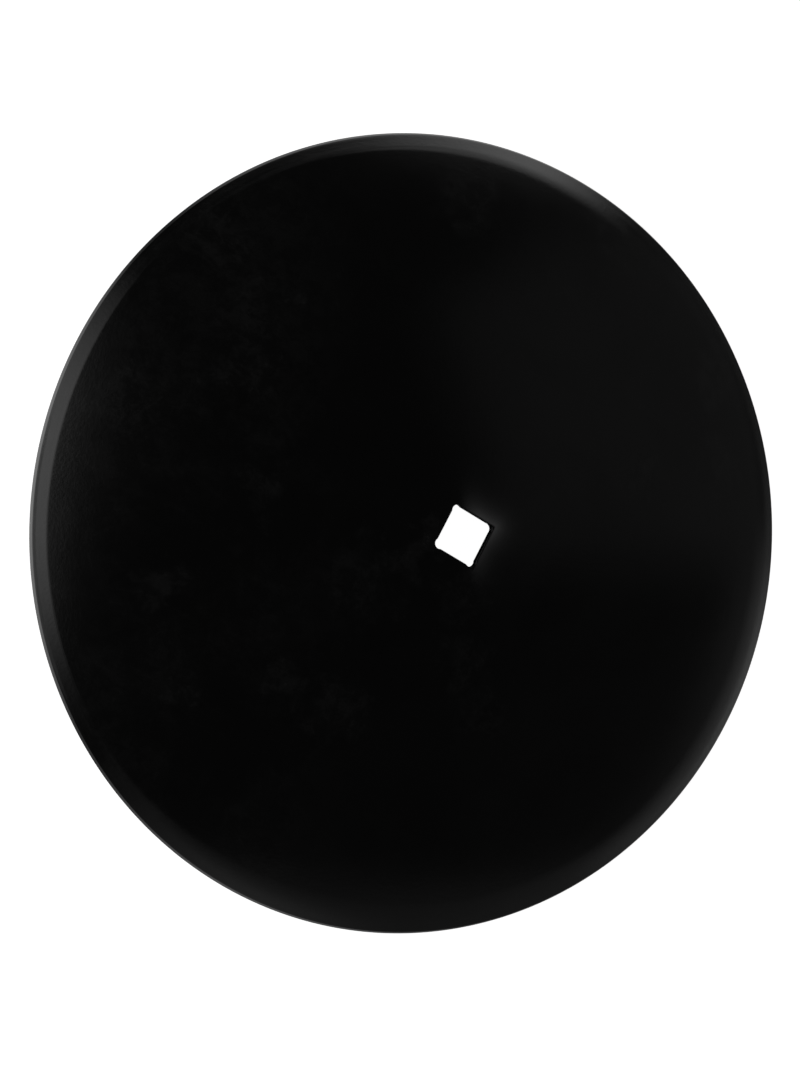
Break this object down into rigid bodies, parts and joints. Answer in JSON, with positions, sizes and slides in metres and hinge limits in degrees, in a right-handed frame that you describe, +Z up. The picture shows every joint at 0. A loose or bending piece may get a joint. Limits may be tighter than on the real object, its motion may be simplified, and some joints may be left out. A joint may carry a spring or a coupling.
{
  "type": "harrow disc blade",
  "caption": "Plain round harrow disc blade: a dished steel plate with a bevelled rim and a square axle hole with relieved corners.",
  "frame": {"origin": "on the disc's axis, at the level of the lower rim edge that the blade rests on", "axes": "+Z up along the disc's axis, out of the domed side; X and Y parallel to the sides of the square hole"},
  "size_m": [0.56, 0.56, 0.0613],
  "materials": {
    "black_paint": "satin black paint"
  },
  "bodies": {
    "root": {"disc_blade": "black_paint"}
  },
  "joints": []
}
